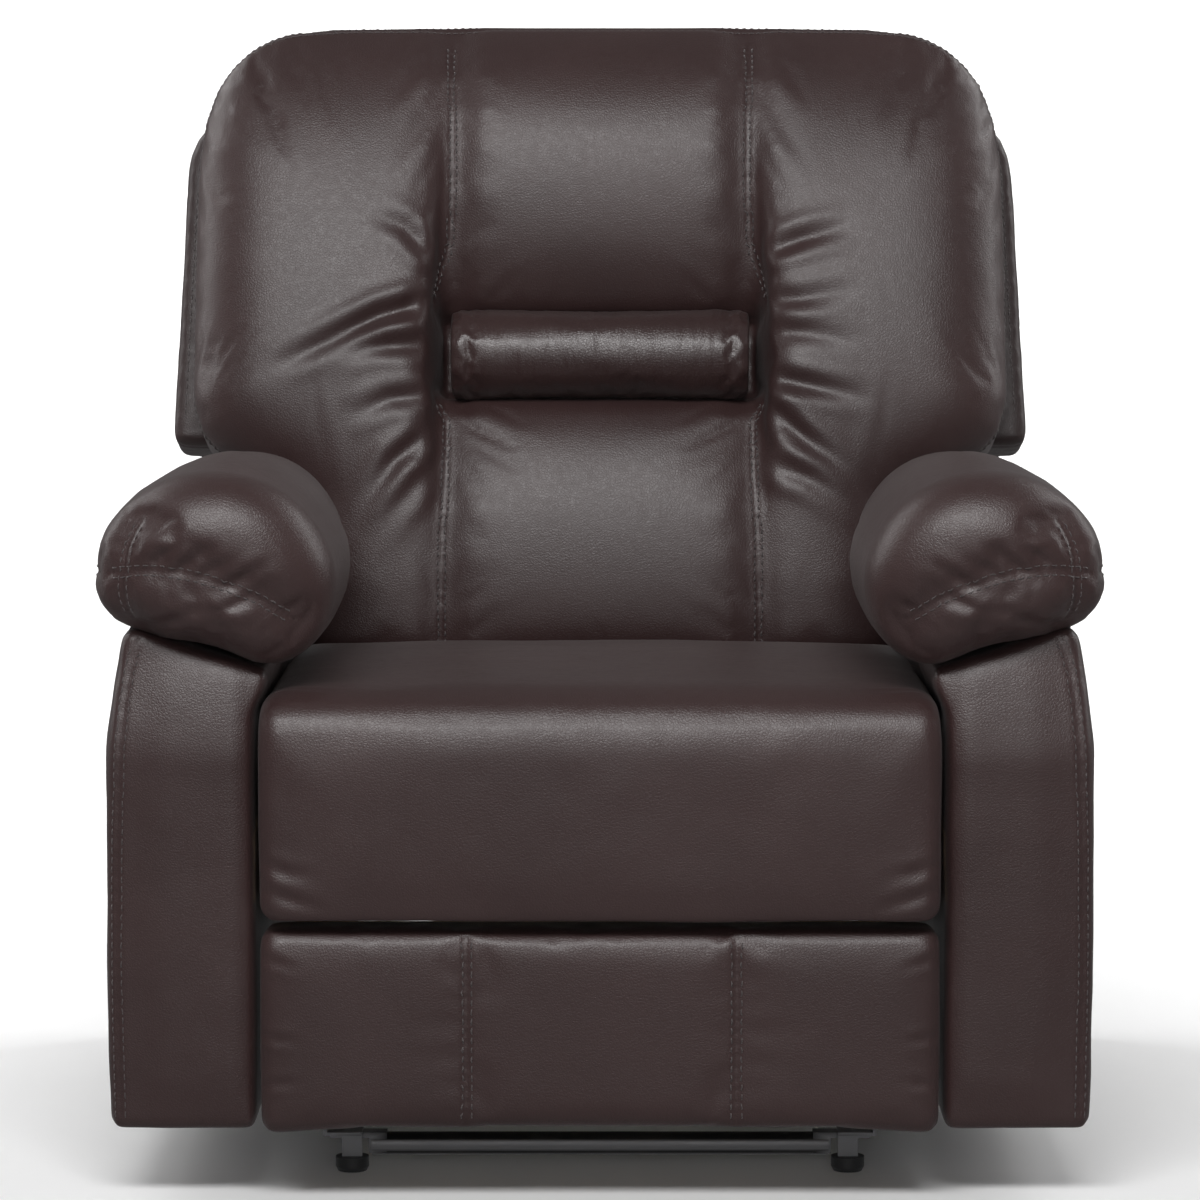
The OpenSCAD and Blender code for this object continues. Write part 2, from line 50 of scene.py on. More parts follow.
CAMERA_PLACE = (0.0, -4.43, 0.90)
CAMERA_PITCH = 5.3
CAMERA_LENS = 139.3

camera = bpy.data.objects.new("camera", bpy.data.cameras.new("camera"))
scene.collection.objects.link(camera)
camera.location = CAMERA_PLACE
camera.rotation_euler = (math.radians(90 - CAMERA_PITCH), 0, 0)
camera.data.lens = CAMERA_LENS
camera.data.sensor_width = 36
scene.camera = camera

# ---- materials -------------------------------------------------------------


def new_material(name):
    """An empty node material and its main shader."""
    mat = bpy.data.materials.new(name)
    mat.use_nodes = True
    tree = mat.node_tree
    tree.nodes.clear()
    out = tree.nodes.new("ShaderNodeOutputMaterial")
    shader = tree.nodes.new("ShaderNodeBsdfPrincipled")
    tree.links.new(shader.outputs["BSDF"], out.inputs["Surface"])
    return mat, tree, shader


def object_space(tree, stretch=(1, 1, 1)):
    """Object coordinates, stretched along each axis."""
    coord = tree.nodes.new("ShaderNodeTexCoord")
    mapping = tree.nodes.new("ShaderNodeMapping")
    mapping.inputs["Scale"].default_value = stretch
    tree.links.new(coord.outputs["Object"], mapping.inputs["Vector"])
    return mapping.outputs["Vector"]


def noise_value(tree, vector, scale, detail=3.0, rough=0.5):
    """A noise pattern over a vector."""
    tex = tree.nodes.new("ShaderNodeTexNoise")
    tex.inputs["Scale"].default_value = scale
    tex.inputs["Detail"].default_value = detail
    tex.inputs["Roughness"].default_value = rough
    tree.links.new(vector, tex.inputs["Vector"])
    return tex.outputs["Fac"]


def cell_value(tree, vector, scale, feature="F1", out="Distance"):
    """A cell pattern over a vector."""
    tex = tree.nodes.new("ShaderNodeTexVoronoi")
    tex.feature = feature
    tex.inputs["Scale"].default_value = scale
    tree.links.new(vector, tex.inputs["Vector"])
    return tex.outputs[out]


def mapped(tree, value, low, high, to_low, to_high):
    """A value remapped from one range to another."""
    node = tree.nodes.new("ShaderNodeMapRange")
    node.inputs["From Min"].default_value = low
    node.inputs["From Max"].default_value = high
    node.inputs["To Min"].default_value = to_low
    node.inputs["To Max"].default_value = to_high
    tree.links.new(value, node.inputs["Value"])
    return node.outputs["Result"]


def mixed(tree, fac, a, b):
    """Colour a to colour b by fac; a and b are colours or sockets."""
    node = tree.nodes.new("ShaderNodeMix")
    node.data_type = "RGBA"
    tree.links.new(fac, node.inputs[0])
    for socket, value in ((node.inputs[6], a), (node.inputs[7], b)):
        if isinstance(value, tuple):
            socket.default_value = (*value, 1.0)
        else:
            tree.links.new(value, socket)
    return node.outputs[2]


def bumped(tree, height, strength, distance, normal=None):
    """A bump normal from a height, on top of another normal if one is given."""
    node = tree.nodes.new("ShaderNodeBump")
    node.inputs["Strength"].default_value = strength
    node.inputs["Distance"].default_value = distance
    tree.links.new(height, node.inputs["Height"])
    if normal is not None:
        tree.links.new(normal, node.inputs["Normal"])
    return node.outputs["Normal"]


def leather(name, dark, light, rough=(0.39, 0.45), coat=0.10):
    """Faux leather: pebble grain, pores, soft creases, patchy sheen and slightly lighter worn crowns."""
    mat, tree, shader = new_material(name)
    vector = object_space(tree)
    pebble = cell_value(tree, vector, 620, "F1")
    pebble_edge = cell_value(tree, vector, 380, "DISTANCE_TO_EDGE")
    pores = noise_value(tree, vector, 1500, 2)
    crease = noise_value(tree, object_space(tree, (1, 1, 0.55)), 55, 5, 0.62)
    patch = noise_value(tree, vector, 5.5, 4, 0.55)
    fine = noise_value(tree, vector, 140, 3)
    colour = mixed(tree, mapped(tree, patch, 0.35, 0.65, 0, 1), dark, light)
    darker = tuple(c * 0.72 for c in dark)
    colour = mixed(tree, mapped(tree, pebble_edge, 0.0, 0.10, 0.28, 0.0), colour, darker)
    wear = tree.nodes.new("ShaderNodeNewGeometry")
    worn = tuple(min(1.0, c * 1.5 + 0.004) for c in light)
    colour = mixed(tree, mapped(tree, wear.outputs["Pointiness"], 0.52, 0.60, 0.0, 0.35), colour, worn)
    tree.links.new(colour, shader.inputs["Base Color"])
    tree.links.new(mapped(tree, fine, 0.3, 0.7, rough[0], rough[1]), shader.inputs["Roughness"])
    shader.inputs["Specular IOR Level"].default_value = 0.5
    shader.inputs["Coat Weight"].default_value = coat
    shader.inputs["Coat Roughness"].default_value = 0.32
    shader.inputs["Sheen Weight"].default_value = 0.04
    shader.inputs["Sheen Roughness"].default_value = 0.5
    normal = bumped(tree, crease, 0.045, 0.004)
    normal = bumped(tree, mapped(tree, pebble_edge, 0.0, 0.22, 0, 1), 0.22, 0.0006, normal)
    normal = bumped(tree, pebble, 0.10, 0.0006, normal)
    normal = bumped(tree, pores, 0.06, 0.0004, normal)
    tree.links.new(normal, shader.inputs["Normal"])
    return mat


def thread(name, colour):
    """Twisted polyester thread."""
    mat, tree, shader = new_material(name)
    vector = object_space(tree, (1, 1, 1))
    twist = noise_value(tree, vector, 2600, 2)
    tree.links.new(mixed(tree, twist, colour, tuple(c * 1.8 for c in colour)), shader.inputs["Base Color"])
    shader.inputs["Roughness"].default_value = 0.55
    shader.inputs["Sheen Weight"].default_value = 0.3
    tree.links.new(bumped(tree, twist, 0.5, 0.0003), shader.inputs["Normal"])
    return mat


def coated_steel(name, colour):
    """Satin black powder coat with orange peel, dust and rubbed edges."""
    mat, tree, shader = new_material(name)
    vector = object_space(tree)
    peel = noise_value(tree, vector, 900, 2)
    dust = noise_value(tree, vector, 14, 6, 0.6)
    geometry = tree.nodes.new("ShaderNodeNewGeometry")
    edge = mapped(tree, geometry.outputs["Pointiness"], 0.53, 0.60, 0, 1)
    body = mixed(tree, mapped(tree, dust, 0.5, 0.8, 0, 0.5), colour, (0.09, 0.085, 0.08))
    tree.links.new(mixed(tree, edge, body, (0.22, 0.22, 0.23)), shader.inputs["Base Color"])
    shader.inputs["Metallic"].default_value = 0.25
    tree.links.new(mapped(tree, dust, 0.2, 0.8, 0.30, 0.52), shader.inputs["Roughness"])
    tree.links.new(bumped(tree, peel, 0.15, 0.0004), shader.inputs["Normal"])
    return mat


def bright_steel(name, colour, rough=0.3):
    """Zinc plate or oiled wire: streaky, slightly dulled."""
    mat, tree, shader = new_material(name)
    streak = noise_value(tree, object_space(tree, (1, 1, 14)), 160, 3)
    dull = noise_value(tree, object_space(tree), 30, 5)
    tree.links.new(mixed(tree, dull, colour, tuple(c * 0.6 for c in colour)), shader.inputs["Base Color"])
    shader.inputs["Metallic"].default_value = 1.0
    tree.links.new(mapped(tree, dull, 0.3, 0.7, rough, rough + 0.2), shader.inputs["Roughness"])
    tree.links.new(bumped(tree, streak, 0.12, 0.0003), shader.inputs["Normal"])
    return mat


def timber(name, pale, deep, plies=False):
    """Sawn wood with long grain, or plywood with its ply lines."""
    mat, tree, shader = new_material(name)
    stretch = (1, 0.08, 1) if not plies else (0.3, 0.3, 1)
    grain = noise_value(tree, object_space(tree, stretch), 110, 6, 0.65)
    rings = tree.nodes.new("ShaderNodeTexWave")
    rings.inputs["Scale"].default_value = 9 if not plies else 120
    rings.inputs["Distortion"].default_value = 6 if not plies else 0.6
    rings.inputs["Detail"].default_value = 3
    rings.bands_direction = "X"
    tree.links.new(object_space(tree, stretch), rings.inputs["Vector"])
    tone = mixed(tree, grain, pale, deep)
    tone = mixed(tree, mapped(tree, rings.outputs["Fac"], 0, 1, 0, 0.45), tone, deep)
    tree.links.new(tone, shader.inputs["Base Color"])
    tree.links.new(mapped(tree, grain, 0.3, 0.7, 0.55, 0.75), shader.inputs["Roughness"])
    tree.links.new(bumped(tree, grain, 0.3, 0.0008), shader.inputs["Normal"])
    return mat


def moulded(name, colour, rough=0.5):
    """Moulded plastic or rubber with a spark-eroded texture."""
    mat, tree, shader = new_material(name)
    vector = object_space(tree)
    grit = noise_value(tree, vector, 1100, 3)
    smear = noise_value(tree, vector, 25, 4)
    tree.links.new(mixed(tree, smear, colour, tuple(c * 1.5 for c in colour)), shader.inputs["Base Color"])
    tree.links.new(mapped(tree, smear, 0.3, 0.7, rough - 0.08, rough + 0.1), shader.inputs["Roughness"])
    tree.links.new(bumped(tree, grit, 0.25, 0.0004), shader.inputs["Normal"])
    return mat


def woven(name, colour, pitch=420, fluff=0.3):
    """Felt or woven strap: crossed threads and fuzz."""
    mat, tree, shader = new_material(name)
    vector = object_space(tree)
    warp = tree.nodes.new("ShaderNodeTexWave")
    warp.bands_direction = "X"
    warp.inputs["Scale"].default_value = pitch / 6
    warp.inputs["Distortion"].default_value = 0.8
    tree.links.new(vector, warp.inputs["Vector"])
    weft = tree.nodes.new("ShaderNodeTexWave")
    weft.bands_direction = "Z"
    weft.inputs["Scale"].default_value = pitch / 6
    weft.inputs["Distortion"].default_value = 0.8
    tree.links.new(vector, weft.inputs["Vector"])
    fuzz = noise_value(tree, vector, pitch * 2, 4, 0.6)
    tone = mixed(tree, warp.outputs["Fac"], tuple(c * 0.7 for c in colour), colour)
    tone = mixed(tree, mapped(tree, fuzz, 0.3, 0.7, 0, 0.5), tone, tuple(min(1, c * 1.25) for c in colour))
    tree.links.new(tone, shader.inputs["Base Color"])
    shader.inputs["Roughness"].default_value = 0.9
    shader.inputs["Sheen Weight"].default_value = fluff
    normal = bumped(tree, weft.outputs["Fac"], 0.3, 0.0006)
    tree.links.new(bumped(tree, fuzz, 0.4, 0.0006, normal), shader.inputs["Normal"])
    return mat


LEATHER = leather("leather_main", (0.030, 0.0142, 0.0138), (0.037, 0.0182, 0.0176))
LEATHER_ROLL = leather("leather_roll", (0.028, 0.0138, 0.0134), (0.036, 0.0180, 0.0172), (0.29, 0.34), 0.15)
LEATHER_SHELL = leather("leather_shell", (0.024, 0.0120, 0.0116), (0.030, 0.0155, 0.0150), (0.42, 0.56), 0.05)
THREAD = thread("thread", (0.030, 0.022, 0.022))
STEEL = coated_steel("steel_black", (0.012, 0.012, 0.013))
ZINC = bright_steel("pin_steel", (0.55, 0.55, 0.57))
WIRE = bright_steel("spring_wire", (0.30, 0.30, 0.32), 0.38)
TIMBER = timber("timber", (0.50, 0.33, 0.18), (0.32, 0.19, 0.09))
PLYWOOD = timber("plywood", (0.60, 0.44, 0.27), (0.42, 0.28, 0.15), plies=True)
PLASTIC = moulded("black_plastic", (0.014, 0.014, 0.015))
JACKET = moulded("cable_jacket", (0.012, 0.012, 0.012), 0.4)
FELT = woven("pad_felt", (0.62, 0.60, 0.54))
STRAP = woven("webbing", (0.05, 0.05, 0.05), 300, 0.1)

SLOT_MATERIAL = {
    "steel_black": STEEL, "pin_steel": ZINC, "spring_wire": WIRE, "timber": TIMBER,
    "plywood": PLYWOOD, "glide_plastic": PLASTIC, "handle_plastic": PLASTIC,
    "cable_jacket": JACKET, "pad_felt": FELT, "webbing": STRAP,
    "leather_main": LEATHER, "leather_arm": LEATHER, "leather_back": LEATHER,
    "leather_roll": LEATHER_ROLL, "shell_leather": LEATHER_SHELL,
}
for part in frame["record"]["subparts"]:
    mesh = frame["nodes"][part["node"]].data
    mesh.materials.clear()
    mesh.materials.append(SLOT_MATERIAL[part["material_slot"]])

# ---- mesh helpers ----------------------------------------------------------


def make_object(name, points, faces, material):
    """A mesh object linked into the scene."""
    mesh = bpy.data.meshes.new(name)
    mesh.from_pydata([tuple(p) for p in points], [], faces)
    mesh.validate()
    obj = bpy.data.objects.new(name, mesh)
    scene.collection.objects.link(obj)
    mesh.materials.append(material)
    mesh.shade_smooth()
    return obj


def points_of(mesh):
    """The places of all vertices of a mesh."""
    co = np.empty(len(mesh.vertices) * 3)
    mesh.vertices.foreach_get("co", co)
    return co.reshape(-1, 3)


def set_points(mesh, co):
    """Moves all vertices of a mesh."""
    mesh.vertices.foreach_set("co", np.asarray(co, float).ravel())
    mesh.update()


def apply_modifiers(obj):
    """Makes the result of the modifiers the mesh itself."""
    graph = bpy.context.evaluated_depsgraph_get()
    mesh = bpy.data.meshes.new_from_object(obj.evaluated_get(graph))
    obj.modifiers.clear()
    old = obj.data
    obj.data = mesh
    bpy.data.meshes.remove(old)
    obj.data.shade_smooth()


def remesh(obj, voxel, smooth=4):
    """Even quads of about one voxel, softened a little."""
    mod = obj.modifiers.new("remesh", "REMESH")
    mod.mode = "VOXEL"
    mod.voxel_size = voxel
    if smooth:
        soft = obj.modifiers.new("smooth", "SMOOTH")
        soft.factor = 0.5
        soft.iterations = smooth
    apply_modifiers(obj)


def subdivide(obj, levels=1):
    """Adds smooth subdivision to the mesh itself."""
    mod = obj.modifiers.new("subdivide", "SUBSURF")
    mod.levels = levels
    mod.render_levels = levels
    apply_modifiers(obj)


def dense(path, step=0.003):
    """Points every step along a polyline."""
    out = []
    path = [np.array(p, float) for p in path]
    for a, b in zip(path[:-1], path[1:]):
        n = max(1, int(np.linalg.norm(b - a) / step))
        out += [a + (b - a) * i / n for i in range(n)]
    return np.array(out + [path[-1]])


def distance_to(co, paths):
    """Distance from each point to the nearest of these polylines."""
    cloud = np.concatenate([dense(p) for p in paths])
    tree = KDTree(len(cloud))
    for i, p in enumerate(cloud):
        tree.insert(p, i)
    tree.balance()
    return np.array([tree.find(p)[2] for p in co])


def eased_path(path, rounds=6):
    """Takes the jitter out of a line of places, leaving its ends."""
    path = np.array(path, float)
    for _ in range(rounds):
        path[1:-1] = 0.25 * path[:-2] + 0.5 * path[1:-1] + 0.25 * path[2:]
    return path


def on_surface(obj, path, step=0.004):
    """A polyline moved onto the nearest points of a surface."""
    bvh = BVHTree.FromPolygons([v.co for v in obj.data.vertices],
                               [tuple(p.vertices) for p in obj.data.polygons])
    return eased_path([bvh.find_nearest(Vector(p))[0] for p in dense(path, step)])


def inflate(obj, pinned, pressure=4.0, grow=0.02, cap=0.024, bend=0.6, frames=20, stiff=18, slack=None):
    """Cloth under pressure, held where pinned is 1; no point moves further than cap."""
    start = points_of(obj.data)
    group = obj.vertex_groups.new(name="held")
    for i in np.nonzero(pinned > 0.01)[0]:
        group.add([int(i)], float(pinned[i]), "REPLACE")
    mod = obj.modifiers.new("cloth", "CLOTH")
    cloth = mod.settings
    cloth.quality = 4
    cloth.mass = 0.35
    cloth.air_damping = 2.0
    cloth.tension_stiffness = stiff
    cloth.compression_stiffness = stiff
    cloth.shear_stiffness = stiff * 0.4
    cloth.bending_stiffness = bend
    cloth.shrink_min = -grow
    cloth.shrink_max = -grow
    if slack is not None:
        loose = obj.vertex_groups.new(name="loose")
        for i, value in enumerate(slack):
            loose.add([i], float(value), "REPLACE")
        cloth.shrink_min = 0.0
        cloth.vertex_group_shrink = "loose"
    cloth.vertex_group_mass = "held"
    cloth.use_pressure = True
    cloth.uniform_pressure_force = pressure
    cloth.effector_weights.gravity = 0
    mod.collision_settings.use_collision = False
    mod.point_cache.frame_start = 1
    mod.point_cache.frame_end = frames
    for f in range(1, frames + 1):
        scene.frame_set(f)
    graph = bpy.context.evaluated_depsgraph_get()
    moved = points_of(obj.evaluated_get(graph).data)
    obj.modifiers.clear()
    obj.vertex_groups.clear()
    scene.frame_set(1)
    step = moved - start
    length = np.linalg.norm(step, axis=1)
    length[length < 1e-9] = 1e-9
    step *= (cap * np.tanh(length / cap) / length)[:, None]
    set_points(obj.data, start + step)


def normals_of(mesh):
    """The normals of all vertices of a mesh."""
    n = np.empty(len(mesh.vertices) * 3)
    mesh.vertices.foreach_get("normal", n)
    return n.reshape(-1, 3)


def sink(obj, paths, depth, width):
    """Presses a sewn channel into the surface along the paths."""
    co = points_of(obj.data)
    d = distance_to(co, paths)
    push = depth * np.exp(-((d / width) ** 2))
    set_points(obj.data, co - normals_of(obj.data) * push[:, None])


def wrinkle(obj, amount, size, seed, mask=None, stretch=(1, 1, 1)):
    """Soft folds from smooth noise, stronger where mask is 1."""
    co = points_of(obj.data)
    normal = normals_of(obj.data)
    offset = Vector((seed * 3.1, seed * 7.7, seed * 1.3))
    scale = Vector(stretch)
    value = np.array([noise.fractal(Vector(c * s for c, s in zip(p, scale)) / size + offset, 0.8, 2.0, 3)
                      for p in co])
    if mask is not None:
        value = value * mask
    set_points(obj.data, co + normal * (value * amount)[:, None])


def stitches(name, surface, paths, offsets, body, length=0.0048, space=0.0024, radius=0.00055):
    """Rows of thread stitches lying on a surface beside each path, at these sideways offsets."""
    bvh = BVHTree.FromPolygons([v.co for v in surface.data.vertices],
                               [tuple(p.vertices) for p in surface.data.polygons])
    points, faces = [], []
    sides = 5
    for path in paths:
        fine = dense(path, 0.001)
        run = np.concatenate([[0], np.cumsum(np.linalg.norm(np.diff(fine, axis=0), axis=1))])
        for off in offsets:
            at = 0.004
            while at + length < run[-1] - 0.003:
                ends = []
                for s in (at, at + length / 2, at + length):
                    p = np.array([np.interp(s, run, fine[:, k]) for k in range(3)])
                    q = np.array([np.interp(min(s + 0.003, run[-1]), run, fine[:, k]) for k in range(3)])
                    along = Vector(q - p)
                    place, normal, _, _ = bvh.find_nearest(Vector(p))
                    side = along.cross(normal)
                    if side.length < 1e-9:
                        continue
                    place, normal, _, _ = bvh.find_nearest(place + side.normalized() * off)
                    ends.append((place, normal))
                at += length + space
                if len(ends) < 3:
                    continue
                along = (ends[2][0] - ends[0][0]).normalized()
                base = len(points)
                for i, (place, normal) in enumerate(ends):
                    lift = radius * (0.9 if i == 1 else -0.2)
                    r = radius * (1.0 if i == 1 else 0.72)
                    side = along.cross(normal).normalized()
                    middle = place + normal * lift
                    for k in range(sides):
                        turn = 2 * math.pi * k / sides
                        points.append(middle + (side * math.cos(turn) + normal * math.sin(turn)) * r)
                for i in range(2):
                    for k in range(sides):
                        a, b = base + i * sides + k, base + i * sides + (k + 1) % sides
                        faces.append((a, b, b + sides, a + sides))
                faces.append(tuple(base + k for k in reversed(range(sides))))
                faces.append(tuple(base + 2 * sides + k for k in range(sides)))
    obj = make_object(name, points, faces, THREAD)
    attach(obj, body)
    return obj


def ring_loft(name, rings, material):
    """A closed skin through rings of equal length, with both ends filled."""
    n = len(rings[0])
    points = [p for ring in rings for p in ring]
    faces = []
    for i in range(len(rings) - 1):
        for k in range(n):
            a, b = i * n + k, i * n + (k + 1) % n
            faces.append((a, b, b + n, a + n))
    last = (len(rings) - 1) * n
    faces.append(tuple(reversed(range(n))))
    faces.append(tuple(last + k for k in range(n)))
    obj = make_object(name, points, faces, material)
    fix_normals(obj)
    return obj


def fix_normals(obj):
    """Turns all faces outward."""
    work = bmesh.new()
    work.from_mesh(obj.data)
    bmesh.ops.recalc_face_normals(work, faces=work.faces)
    work.to_mesh(obj.data)
    work.free()
    obj.data.shade_smooth()


def smooth_closed(corners, count):
    """A smooth closed curve through corner points, resampled evenly."""
    pts = np.array(corners, float)
    n = len(pts)
    out = []
    for i in range(n):
        a, b, c, d = pts[i - 1], pts[i], pts[(i + 1) % n], pts[(i + 2) % n]
        for t in np.linspace(0, 1, 24, endpoint=False):
            out.append(0.5 * ((2 * b) + (c - a) * t + (2 * a - 5 * b + 4 * c - d) * t ** 2
                              + (3 * b - a - 3 * c + d) * t ** 3))
    out = np.array(out + [out[0]])
    run = np.concatenate([[0], np.cumsum(np.linalg.norm(np.diff(out, axis=0), axis=1))])
    at = np.linspace(0, run[-1], count, endpoint=False)
    return np.stack([np.interp(at, run, out[:, k]) for k in range(out.shape[1])], 1)


def finish_soft(obj, body, nodes):
    """Gives a soft piece its body and hides the nodes it replaces."""
    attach(obj, body)
    if nodes:
        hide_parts(*nodes)


# ---- the back --------------------------------------------------------------

# the back leans; these turn its own across, rearward, upward places into the frame
LEAN = math.radians(15)
BACK_Y = 0.110
BACK_Z = 0.440


def back_point(x, t, s):
    """The frame place that lies x across, t behind the back's front plane and s up it."""
    return np.array([x, BACK_Y + t * math.cos(LEAN) + s * math.sin(LEAN),
                     BACK_Z - t * math.sin(LEAN) + s * math.cos(LEAN)])


# half the width of the back pillow at each height up the back
PILLOW_EDGE = [(-0.026, 0.274), (-0.012, 0.286), (0.010, 0.290), (0.105, 0.291), (0.138, 0.292),
               (0.160, 0.312), (0.178, 0.348), (0.196, 0.380), (0.214, 0.397), (0.245, 0.407),
               (0.360, 0.407), (0.450, 0.406),
               (0.500, 0.404), (0.540, 0.398), (0.570, 0.388), (0.596, 0.372), (0.615, 0.352), (0.628, 0.328),
               (0.636, 0.300), (0.640, 0.255), (0.642, 0.120)]
# how far back the front surface lies at each height: the middle panels, then the side panels
MIDDLE_DEPTH = [(-0.026, 0.040), (-0.01, 0.022), (0.03, 0.010), (0.08, 0.002), (0.13, 0.000), (0.18, 0.006),
                (0.228, 0.016), (0.250, 0.034), (0.256, 0.070), (0.290, 0.078), (0.334, 0.074),
                (0.342, 0.050),
                (0.360, 0.034), (0.40, 0.018), (0.45, 0.006), (0.50, 0.002), (0.54, 0.004), (0.58, 0.014),
                (0.616, 0.032), (0.642, 0.056)]
SIDE_DEPTH = [(-0.026, 0.044), (0.0, 0.020), (0.06, 0.008), (0.15, 0.000), (0.25, -0.006), (0.38, -0.006),
              (0.50, 0.000), (0.57, 0.012), (0.616, 0.030), (0.642, 0.056)]
SEAM_LINE = [(-0.026, 0.158), (0.10, 0.156), (0.25, 0.150), (0.34, 0.1505), (0.48, 0.148), (0.642, 0.150)]
GROOVE = (0.254, 0.341)
RIM_DEPTH = 0.046
PILLOW_REAR = 0.131
# fold lines that run out from the two upright seams, with their depths
FOLDS = [([(-0.160, 0.381), (-0.195, 0.416), (-0.230, 0.429)], 0.004),
         ([(-0.163, 0.342), (-0.219, 0.324), (-0.288, 0.289), (-0.328, 0.269)], 0.0065),
         ([(-0.161, 0.296), (-0.228, 0.293), (-0.278, 0.281)], 0.004),
         ([(-0.163, 0.246), (-0.208, 0.240), (-0.253, 0.220)], 0.004),
         ([(-0.164, 0.210), (-0.203, 0.178), (-0.247, 0.119)], 0.006),
         ([(-0.166, 0.170), (-0.202, 0.129), (-0.237, 0.079)], 0.004),
         ([(0.154, 0.388), (0.199, 0.403), (0.250, 0.416)], 0.005),
         ([(0.153, 0.342), (0.199, 0.342), (0.259, 0.352)], 0.003),
         ([(0.155, 0.312), (0.209, 0.306), (0.258, 0.296)], 0.003),
         ([(0.155, 0.266), (0.198, 0.256), (0.268, 0.240)], 0.005),
         ([(0.156, 0.240), (0.203, 0.200), (0.257, 0.160)], 0.0055),
         ([(0.156, 0.180), (0.208, 0.160), (0.267, 0.119)], 0.005)]


def along(table, s):
    """A table read at height s."""
    keys, values = zip(*table)
    return np.interp(s, keys, values)


def eased(q):
    """A smooth step from 0 to 1."""
    q = np.clip(q, 0, 1)
    return q * q * (3 - 2 * q)


def pillow_depth(x, s, rim):
    """How far back the pillow's front lies; rim is the distance in from its outline."""
    seam = along(SEAM_LINE, s)
    side = eased((abs(x) - seam - 0.006) / 0.020)
    inner = eased((seam - abs(x) - 0.005) / 0.030)
    middle = along(MIDDLE_DEPTH, s)
    if GROOVE[0] < s < GROOVE[1] and abs(x) < seam:
        depth = middle
    else:
        depth = side * along(SIDE_DEPTH, s) + (1 - side) * (middle + 0.008 * (1 - inner))
    q = np.clip(rim / 0.075, 0, 1)
    roll = 1 - math.sqrt(1 - (1 - q) ** 2)
    return depth + (max(RIM_DEPTH, depth) - depth) * roll


def back_shape():
    """The back pillow before it is filled: a shaped front, a flat rear and an upright border."""
    border = dense([np.array([w, s]) for s, w in PILLOW_EDGE], 0.004)
    tree = KDTree(len(border))
    for i, p in enumerate(border):
        tree.insert((p[0], p[1], 0), i)
    tree.balance()
    rows, columns = 150, 150
    heights = np.linspace(PILLOW_EDGE[0][0], PILLOW_EDGE[-1][0], rows + 1)
    points, faces = [], []
    for layer in (0, 1):
        for s in heights:
            half = along(PILLOW_EDGE, s)
            for j in range(columns + 1):
                u = -1 + 2 * j / columns
                x = u * half
                rim = min(tree.find((abs(x), s, 0))[2], PILLOW_EDGE[-1][0] - s, s - PILLOW_EDGE[0][0] + 0.02)
                t = pillow_depth(x, s, max(rim, 0)) if layer == 0 else PILLOW_REAR
                points.append(back_point(x, t, s))
    w = columns + 1
    size = (rows + 1) * w
    for i in range(rows):
        for j in range(columns):
            a = i * w + j
            faces.append((a, a + 1, a + w + 1, a + w))
            faces.append((a + size, a + size + w, a + size + w + 1, a + size + 1))
    loop = ([(0, j) for j in range(columns)] + [(i, columns) for i in range(rows)]
            + [(rows, j) for j in range(columns, 0, -1)] + [(i, 0) for i in range(rows, 0, -1)])
    loop = [i * w + j for i, j in loop]
    for a, b in zip(loop, loop[1:] + loop[:1]):
        faces.append((a, a + size, b + size, b))
    return points, faces


def into_back(co):
    """Frame places as the back's own across, rearward, upward places."""
    y, z = co[:, 1] - BACK_Y, co[:, 2] - BACK_Z
    return np.stack([co[:, 0], y * math.cos(LEAN) - z * math.sin(LEAN),
                     y * math.sin(LEAN) + z * math.cos(LEAN)], 1)


def fold(obj, lines, width, to_path):
    """Presses tapering fold lines into a surface, each with a raised lip beside it."""
    co = points_of(obj.data)
    normal = normals_of(obj.data)
    total = np.zeros(len(co))
    for line, depth in lines:
        path = dense(to_path(line), 0.002)
        tree = KDTree(len(path))
        for i, p in enumerate(path):
            tree.insert(p, i)
        tree.balance()
        lo, hi = path.min(0) - 0.05, path.max(0) + 0.05
        near = np.nonzero(((co > lo) & (co < hi)).all(1))[0]
        for k in near:
            _, i, d = tree.find(co[k])
            q = i / len(path)
            fade = min(1.0, (1 - q) / 0.6) * min(1.0, q / 0.15)
            total[k] += -depth * fade * math.exp(-((d / width) ** 2))
            total[k] += 0.45 * depth * fade * math.exp(-(((d - 2.1 * width) / (1.1 * width)) ** 2))
    set_points(obj.data, co + normal * total[:, None])


